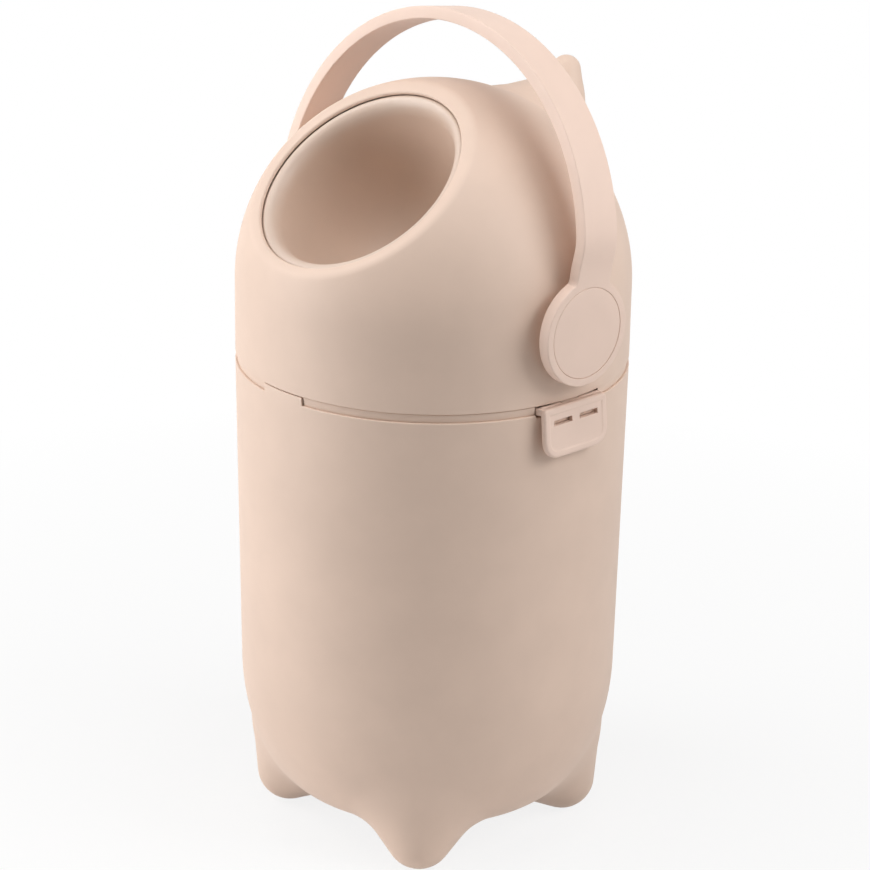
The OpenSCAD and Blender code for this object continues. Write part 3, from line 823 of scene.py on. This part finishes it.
class NAPPYBIN_OT_ball(bpy.types.Operator):
    """The two shells of the ball that closes the mouth once the cup is tipped over"""

    bl_idname = "nappybin.ball"
    bl_label = "Ball"

    def execute(self, context):
        gap = 0.15  # half the joint between the shells
        for name, low, high, node in (
            ("ball_front", BALL_SPLIT + gap, BALL_SEAT, "ball_shell"),
            ("ball_rear", -200.0, BALL_SPLIT - gap, "ball_back"),
        ):
            bm = ball_skin()
            trim(bm, (0, 0, low), (0, 0, 1))
            trim(bm, (0, 0, high), (0, 0, -1))
            turn_outward(bm)
            if sum(f.normal.dot(middle(f)) for f in bm.faces) < 0:
                bmesh.ops.reverse_faces(bm, faces=bm.faces)
            bmesh.ops.solidify(bm, geom=bm.faces, thickness=BALL_WALL)
            bmesh.ops.transform(bm, matrix=mouth_frame(HUB_Z), verts=bm.verts)
            piece(name, bm, "cup_unit", "inner", [node])
        return {"FINISHED"}


# ---- handle ----

ARCH_RISE = 36.0  # height of the arch's centre above the hub axis
LEG_START = -45.0  # height where the path starts, below the disc
LEG_FOOT = 40.0  # height above the hub where a leg leaves the disc's plane
LEG_TOP = 75.0  # height above the hub where it meets the arch
BAND_FROM = 46.0  # height above the hub where the band has its own width
BAND_ANGLE = radians(25)  # half the angle of a disc's edge that the band covers


def handle_path():
    """Points (x, z) up the middle of the right half of the band, 1 mm apart or so, with
    z counted from the hub, and their distances along it."""
    mid = size("arch_r") - size("band_t") / 2
    plane = (HUB_FACE + HUB_BACK) / 2
    points = [(plane, z) for z in np.arange(LEG_START, LEG_FOOT, 1.0)]
    for z in np.arange(LEG_FOOT, LEG_TOP, 1.0):
        t = (z - LEG_FOOT) / (LEG_TOP - LEG_FOOT)
        share = t * t * (3 - 2 * t)
        points.append(((1 - share) * plane + share * sqrt(mid**2 - (z - ARCH_RISE) ** 2), z))
    start = degrees(asin((LEG_TOP - ARCH_RISE) / mid))
    points += arc(0, ARCH_RISE, mid, start, 90, 200)
    points = np.array(points)
    along = np.concatenate([[0], np.cumsum(np.linalg.norm(np.diff(points, axis=0), axis=1))])
    return points, along + LEG_START


def flat_face(top):
    """The front of one disc, with its recess's floor, and of half the band."""
    hub_r, recess_r = size("hub_r"), size("cap_r") + 0.3
    half_w = hub_r * sin(BAND_ANGLE)
    bm = bmesh.new()
    bmesh.ops.create_circle(bm, segments=144, radius=recess_r, cap_ends=True)
    rim = [e for e in bm.edges if e.is_boundary]
    for v in made_verts(bmesh.ops.extrude_edge_only(bm, edges=rim)["geom"]):
        v.co = v.co.normalized() * hub_r
    rim = [e for e in bm.edges if e.is_boundary]
    ends = [e for e in rim if all(v.co.y > 0 and abs(v.co.x) < half_w + 0.05 for v in e.verts)]
    for y in np.linspace(BAND_FROM, top, 96):
        made = bmesh.ops.extrude_edge_only(bm, edges=ends)["geom"]
        ends = made_edges(made)
        for v in made_verts(made):
            v.co.y = y
    turn_outward(bm)
    if sum(f.normal.z for f in bm.faces) < 0:
        bmesh.ops.reverse_faces(bm, faces=bm.faces)
    return bm


def thicken(bm, top):
    """Gives the flat handle its back, and rounds its edges."""
    back = bmesh.ops.extrude_face_region(bm, geom=list(bm.faces), use_keep_orig=True)["geom"]
    bmesh.ops.translate(bm, vec=(0, 0, -size("band_t")), verts=made_verts(back))
    turn_outward(bm)
    # The open end at the top of the arch is the mirror plane
    lid = [f for f in bm.faces if all(abs(v.co.y - top) < 1e-3 for v in f.verts)]
    bmesh.ops.delete(bm, geom=lid, context="FACES")
    # The corners where the band meets the disc get a small hollow rounding
    bevel(bm, [e for e in bm.edges if is_corner(e)], 3.5, 4, clamp=False)
    bevel(bm, [e for e in bm.edges if is_side(e, top)], size("band_edge"), 4)


def is_corner(e):
    """Whether an edge runs through the flat handle where the band meets the disc."""
    a, b = (v.co for v in e.verts)
    x, y = size("hub_r") * sin(BAND_ANGLE), size("hub_r") * cos(BAND_ANGLE)
    upright = abs(a.x - b.x) < 1e-4 and abs(a.y - b.y) < 1e-4
    return upright and abs(abs(a.x) - x) < 0.05 and abs(a.y - y) < 1


def is_side(e, top):
    """Whether an edge runs round the outside of the flat handle, front or back."""
    if len(e.link_faces) != 2 or all(abs(v.co.y - top) < 1e-3 for v in e.verts):
        return False
    flat = [abs(f.normal.z) > 0.9 for f in e.link_faces]
    return flat[0] != flat[1]


def sink_recess(bm):
    """The recess for the cap, in the one face that has the whole circle as its edge."""
    floor = [f for f in bm.faces if len(f.verts) > 100 and f.normal.z > 0.5]
    made = bmesh.ops.extrude_discrete_faces(bm, faces=floor)["faces"]
    bmesh.ops.translate(bm, vec=(0, 0, -2.5), verts=[v for f in made for v in f.verts])


def bend(bm, points, along):
    """Bends the flat handle along its path."""
    slopes = np.gradient(points, axis=0)
    slopes /= np.linalg.norm(slopes, axis=1)[:, None]
    for v in bm.verts:
        width, run, out = v.co
        x, z = (np.interp(run, along, points[:, i]) for i in (0, 1))
        tx, tz = (np.interp(run, along, slopes[:, i]) for i in (0, 1))
        off = out + size("band_t") / 2
        v.co = (x + tz * off, width, z - tx * off)


def add_drives(bm):
    """The square shafts on the discs' backs, which turn the ball."""
    half, end = 8.9, 138.2
    for side, _ in SIDES:
        drive = block((end, -half, HUB_Z - half), (HUB_BACK + 0.3, half, HUB_Z + half), 0.8)
        add_part(bm, drive, mirrored(side))


def add_caps():
    """The caps that hide the screws, let into the discs with a fine groove round them."""
    cap_r, edge, groove = size("cap_r"), 0.6, 0.7
    rim_r, bottom = cap_r + 0.28, HUB_FACE - 2.45
    cap = [(0, bottom), (rim_r, bottom), (rim_r, HUB_FACE - groove), (cap_r, HUB_FACE - groove)]
    cap += arc(cap_r - edge, HUB_FACE - edge, edge, 0, 90, 5)
    cap += [(cap_r * 0.6, HUB_FACE), (0, HUB_FACE)]
    for side, where in SIDES:
        bm = spun(cap, 144, closed=False, matrix=hub_frame(side))
        # The caps take the grips' lighter colour, which is painted light.
        piece("cap_" + where, bm, "cup_unit", "shell", ["hub_cap_" + where], look="grip")


class NAPPYBIN_OT_handle(bpy.types.Operator):
    """The carrying handle: a flat band bent over the head, with a disc at each end"""

    bl_idname = "nappybin.handle"
    bl_label = "Handle"

    def execute(self, context):
        points, along = handle_path()
        top = along[-1]
        # Flat at first: x is the width, y runs up the leg, and z is the way out
        bm = flat_face(top)
        thicken(bm, top)
        sink_recess(bm)
        bend(bm, points, along)
        bmesh.ops.mirror(bm, geom=whole(bm), axis="X", merge_dist=1e-3)
        seam = [v for v in bm.verts if abs(v.co.x) < 0.01]
        bmesh.ops.remove_doubles(bm, verts=seam, dist=0.02)
        turn_outward(bm)
        lean = Matrix.Rotation(-context.scene.bin_sizes.handle_lean, 4, "X")
        bmesh.ops.transform(bm, matrix=Matrix.Translation((0, 0, HUB_Z)) @ lean, verts=bm.verts)
        add_drives(bm)
        # The handle takes the grips' lighter colour, which is painted light.
        piece("handle_band", bm, "cup_unit", "shell", ["handle"], look="grip")
        add_caps()
        return {"FINISHED"}


# ---- latches ----


def latch_leaf():
    """The leaf, hanging from the pin's axis, with a raised border."""
    half, drop = size("latch_w") / 2, size("latch_drop")
    back, front, edge = 3.0, 3.0 + size("latch_t"), 1.7
    top_r, bottom_r = 3.2, 12.5
    # (how far in from the outline, how far out from the pin) of each ring of the leaf:
    # a quarter-round edge, the raised border, and the step down to the face
    steps = [(0, back)]
    for a in np.radians(np.linspace(0, 90, 7)):
        steps.append((edge * (1 - cos(a)), front - edge + edge * sin(a)))
    steps += [(4.0, front), (4.5, front - 0.08), (5.1, front - 0.5), (5.6, front - 0.6)]
    outlines = []
    for inset, x in steps:
        side, low, high = half - inset, inset - drop, LATCH_TOP - inset
        top, bottom = max(top_r - inset, 0.4), max(bottom_r - inset, 0.4)
        corners = [(-side, high, top), (-side, low, bottom), (side, low, bottom), (side, high, top)]
        outlines.append((rounded(corners, 8), x))
    return stacked(outlines, lambda y, z, x: (x, y, z))


def slotted(bm):
    """Cuts the two slots for the bucket's catches through the leaf."""
    low, high, wide = -11.4, -7.4, 18
    cutter = bmesh.new()
    for y in (-21.6, 3.6):
        add_part(cutter, block((0, y, low), (12, y + wide, high)))
    leaf, tool = (as_object("leaf", as_mesh("leaf", part)) for part in (bm, cutter))
    carve = leaf.modifiers.new("slots", "BOOLEAN")
    carve.operation, carve.solver, carve.object = "DIFFERENCE", "EXACT", tool
    evaluated = leaf.evaluated_get(bpy.context.evaluated_depsgraph_get())
    result = bmesh.new()
    result.from_mesh(evaluated.to_mesh())
    evaluated.to_mesh_clear()
    for obj in (leaf, tool):
        mesh = obj.data
        bpy.data.objects.remove(obj)
        bpy.data.meshes.remove(mesh)
    return result


def add_knuckles(bm):
    """The two knuckles of the hinge, and what joins them to the leaf."""
    bore, outside, wide = 1.55, 2.6, 18.9
    tube = rounded([(bore, 0, 0.2), (outside, 0, 0.3), (outside, wide, 0.3), (bore, wide, 0.2)], 2)
    for y in (-28, 9.1):
        turn = Matrix.Translation((0, y + wide, 0)) @ Matrix.Rotation(radians(90), 4, "X")
        add_part(bm, spun(tube, 48), turn)
        add_part(bm, block((1.6, y + 0.2, -2.4), (3.4, y + 18.7, 1.7), 0.3))


def hinge_cover():
    """The strip that hides the hinge's pin, between the two ends of the ring's band."""
    end, back, front, low, top = NOOK_HALF - 0.5, -2.6, 4.6, -2.7, LATCH_TOP
    # (how far in from the outline, height) of each of its rings
    rings = [(0.5, low), (0.12, low + 0.15), (0, low + 0.5)]
    rings += [(0, top - 0.5), (0.12, top - 0.15), (0.5, top)]
    outlines = []
    for inset, z in rings:
        x, y = front - inset, end - inset
        corners = [(back, -y, 0.3), (x, -y, 4.5), (x, y, 4.5), (back, y, 0.3)]
        outlines.append((rounded(corners, 8), z))
    return stacked(outlines, lambda x, y, z: (x, y, z))


class NAPPYBIN_OT_latches(bpy.types.Operator):
    """The two latches that hold the head down, each with two slots for the catches"""

    bl_idname = "nappybin.latches"
    bl_label = "Latches"

    def execute(self, context):
        lean = Matrix.Rotation(-context.scene.bin_sizes.latch_lean, 4, "Y")
        for side, where in SIDES:
            bm = slotted(latch_leaf())
            add_knuckles(bm)
            add_part(bm, hinge_cover())
            place = mirrored(side) @ (Matrix.Translation(PIN) @ lean)
            bmesh.ops.transform(bm, matrix=place, verts=bm.verts)
            if side < 0:
                bmesh.ops.reverse_faces(bm, faces=bm.faces)
            name, body = "latch_leaf_" + where, where + "_latch"
            # The latches take the grips' lighter colour, which is painted light.
            piece(name, bm, body, "shell", ["latch_" + where], look="grip")
        return {"FINISHED"}


# ---- the other CAD nodes ----

SMOOTHED = ("head_collar", "mouth_seal", "bush_left", "bush_right", "trunnion_left", "trunnion_right")


def soften(source, node, body, slot):
    """A copy of a CAD node, merged, smoothly shaded and with its edges broken."""
    bm = bmesh.new()
    bm.from_mesh(source.data)
    bmesh.ops.scale(bm, vec=(1 / MM,) * 3, verts=bm.verts)
    bmesh.ops.remove_doubles(bm, verts=bm.verts, dist=0.002)
    bmesh.ops.dissolve_limit(bm, angle_limit=radians(0.5), verts=bm.verts, edges=bm.edges)
    obj = piece(node + "_dressed", bm, body, slot, [node])
    broken = obj.modifiers.new("broken edges", "BEVEL")
    broken.width, broken.segments, broken.limit_method = 0.25 * MM, 2, "ANGLE"
    broken.angle_limit = radians(40)


class NAPPYBIN_OT_inner_works(bpy.types.Operator):
    """Finishes the pieces inside: smooth copies of the larger ones, materials on the rest"""

    bl_idname = "nappybin.inner_works"
    bl_label = "Inner works"

    def execute(self, context):
        slots = {row["node"]: row["material_slot"] for row in frame["record"]["subparts"]}
        for body, members in frame["record"]["behaviour"]["bodies"].items():
            for node in members:
                source = frame["nodes"][node]
                if source.hide_render:
                    continue
                if node in SMOOTHED:
                    soften(source, node, body, slots[node])
                else:
                    source.data.materials.clear()
                    source.data.materials.append(finish_material(slots[node]))
        return {"FINISHED"}


# ---- studio ----

# The camera that the photograph was fitted with: its focal length and the picture's width in
# pixels, its azimuth, its distance and height in body radii, and how it is turned, in degrees
FOCAL_PX, PICTURE_PX = 3060.8257, 870
CAMERA_AZIMUTH, CAMERA_AWAY, CAMERA_HEIGHT = 47.17564, 14.72083, 7.65790
CAMERA_YAW, CAMERA_PITCH, CAMERA_ROLL = -0.08151, -20.70437, 0.93744


def seen_directly(tree):
    """1 where the camera, or a reflection or glass, looks straight at a surface."""
    camera, glossy, glass = (
        add_node(tree, "ShaderNodeLightPath", "Is %s Ray" % kind)
        for kind in ("Camera", "Glossy", "Transmission")
    )
    return calculated(tree, "MAXIMUM", calculated(tree, "MAXIMUM", camera, glossy), glass)


def add_floor():
    """A pale paper sweep that stays white and keeps the bin's shadow."""
    material, tree, place = new_material("paper_matt_white")
    tone = spread(tree, noise(tree, place, 4, 2.0), 0.84, 0.87, 0, 1)
    paper = add_node(tree, "ShaderNodeBsdfDiffuse", "BSDF", {"Color": tone})
    glow = add_node(tree, "ShaderNodeEmission", "Emission", {"Color": (1, 1, 1, 1), "Strength": 1.0})
    # The shadow is kept near the bin, and further out the paper fades to plain white
    away = add_node(tree, "ShaderNodeVectorMath", "Value", {0: place}, operation="LENGTH")
    plain = spread(tree, away, 0.84, 1.0, 0.2, 0.9)
    share = calculated(tree, "MULTIPLY", seen_directly(tree), plain)
    mixed = add_node(tree, "ShaderNodeMixShader", "Shader", {0: share, 1: paper, 2: glow})
    # The paper isn't there for a look at the bin from below
    side = add_node(tree, "ShaderNodeNewGeometry", "Backfacing")
    clear = add_node(tree, "ShaderNodeBsdfTransparent", "BSDF")
    add_surface(tree, add_node(tree, "ShaderNodeMixShader", "Shader", {0: side, 1: mixed, 2: clear}))
    bm = bmesh.new()
    bmesh.ops.create_grid(bm, x_segments=2, y_segments=2, size=6)
    bmesh.ops.translate(bm, vec=(0, 0, -0.3 * MM), verts=bm.verts)
    mesh = as_mesh("floor", bm)
    mesh.materials.append(material)
    floor = as_object("floor", mesh)


def add_world(scene):
    """Faint warm light from all round, and white where the camera sees past the floor."""
    scene.world = bpy.data.worlds.new("studio")
    scene.world.use_nodes = True
    tree = scene.world.node_tree
    tree.nodes.clear()
    seen = seen_directly(tree)
    colours = {0: seen, 6: (1.0, 0.84, 0.66, 1.0), 7: (1.0, 1.0, 1.0, 1.0)}
    look = {
        "Color": add_node(tree, "ShaderNodeMix", 2, colours, data_type="RGBA"),
        "Strength": spread(tree, seen, 0.04, 1.0, 0, 1),
    }
    add_surface(tree, add_node(tree, "ShaderNodeBackground", "Background", look), "World")


def add_lamps():
    """A low and a high soft box on either side, and one above, aimed at the bin's middle."""
    # Azimuth in degrees, height, distance, the box's width and height in metres, and watts
    for name, azimuth, height, distance, width, tall, power in (
        ("softbox_left_low", -32, 0.3, 1.7, 0.9, 1.2, 17.2),
        ("softbox_left_high", -45, 1.4, 1.4, 0.9, 0.9, 13.2),
        ("softbox_right_low", 120, 0.6, 1.7, 0.9, 1.5, 5),
        ("softbox_right_high", 113, 1.35, 1.4, 1.0, 0.8, 12.3),
        ("softbox_top", 47, 2.1, 0.35, 1.2, 1.2, 15.5),
    ):
        lamp = bpy.data.lights.new(name, "AREA")
        lamp.shape, lamp.size, lamp.size_y, lamp.energy = "RECTANGLE", width, tall, power
        a = radians(azimuth)
        holder = as_object(name, lamp)
        holder.location = (sin(a) * distance, -cos(a) * distance, height)
        aim = Vector((0, 0, 0.33)) - holder.location
        holder.rotation_euler = aim.to_track_quat("-Z", "Y").to_euler()


def add_camera(scene):
    data = bpy.data.cameras.new("camera")
    data.sensor_width = 36.0
    data.lens = FOCAL_PX / PICTURE_PX * data.sensor_width
    data.clip_end = 30
    azimuth, yaw, pitch, roll = (
        radians(v) for v in (CAMERA_AZIMUTH, CAMERA_YAW, CAMERA_PITCH, CAMERA_ROLL)
    )
    at = Vector((sin(azimuth) * CAMERA_AWAY, -cos(azimuth) * CAMERA_AWAY, CAMERA_HEIGHT))
    turn, level = azimuth + yaw, cos(pitch)
    ahead = Vector((-sin(turn) * level, cos(turn) * level, sin(pitch)))
    right = ahead.cross(UP).normalized()
    up = right.cross(ahead)
    across = right * cos(roll) + up * sin(roll)
    upward = up * cos(roll) - right * sin(roll)
    aim = Matrix((across, upward, -ahead)).transposed().to_4x4()
    camera = as_object("camera", data)
    camera.matrix_world = Matrix.Translation(at * (size("body_r") * MM)) @ aim
    scene.camera = camera


class NAPPYBIN_OT_studio(bpy.types.Operator):
    """The floor, the backdrop, the soft boxes and the camera"""

    bl_idname = "nappybin.studio"
    bl_label = "Studio"

    def execute(self, context):
        add_floor()
        add_world(context.scene)
        add_lamps()
        add_camera(context.scene)
        context.scene.view_settings.view_transform = "Standard"
        return {"FINISHED"}


# ---- panel and registration ----

OPERATORS = (
    NAPPYBIN_OT_bucket, NAPPYBIN_OT_bag_ring, NAPPYBIN_OT_head, NAPPYBIN_OT_cup, NAPPYBIN_OT_ball,
    NAPPYBIN_OT_handle, NAPPYBIN_OT_latches, NAPPYBIN_OT_inner_works, NAPPYBIN_OT_studio,
)


class NAPPYBIN_PT_panel(bpy.types.Panel):
    """Lists the bin's sizes, its colours and the pieces that can be built"""

    bl_idname = "NAPPYBIN_PT_panel"
    bl_label = "Nappy bin"
    bl_space_type = "VIEW_3D"
    bl_region_type = "UI"
    bl_category = "Nappy bin"

    def draw(self, context):
        for group in (context.scene.bin_sizes, context.scene.bin_colours):
            box = self.layout.box()
            for name in group.__annotations__:
                box.prop(group, name)
        for operator in OPERATORS:
            self.layout.operator(operator.bl_idname)


CLASSES = (BinSizes, BinColours, *OPERATORS, NAPPYBIN_PT_panel)


def register():
    for cls in CLASSES:
        bpy.utils.register_class(cls)
    bpy.types.Scene.bin_sizes = bpy.props.PointerProperty(type=BinSizes)
    bpy.types.Scene.bin_colours = bpy.props.PointerProperty(type=BinColours)


def unregister():
    del bpy.types.Scene.bin_colours
    del bpy.types.Scene.bin_sizes
    for cls in reversed(CLASSES):
        bpy.utils.unregister_class(cls)


def main():
    register()
    bpy.ops.nappybin.bucket()
    bpy.ops.nappybin.bag_ring()
    bpy.ops.nappybin.head()
    bpy.ops.nappybin.cup()
    bpy.ops.nappybin.ball()
    bpy.ops.nappybin.handle()
    bpy.ops.nappybin.latches()
    bpy.ops.nappybin.inner_works()
    bpy.ops.nappybin.studio()


if __name__ == "__main__":
    main()
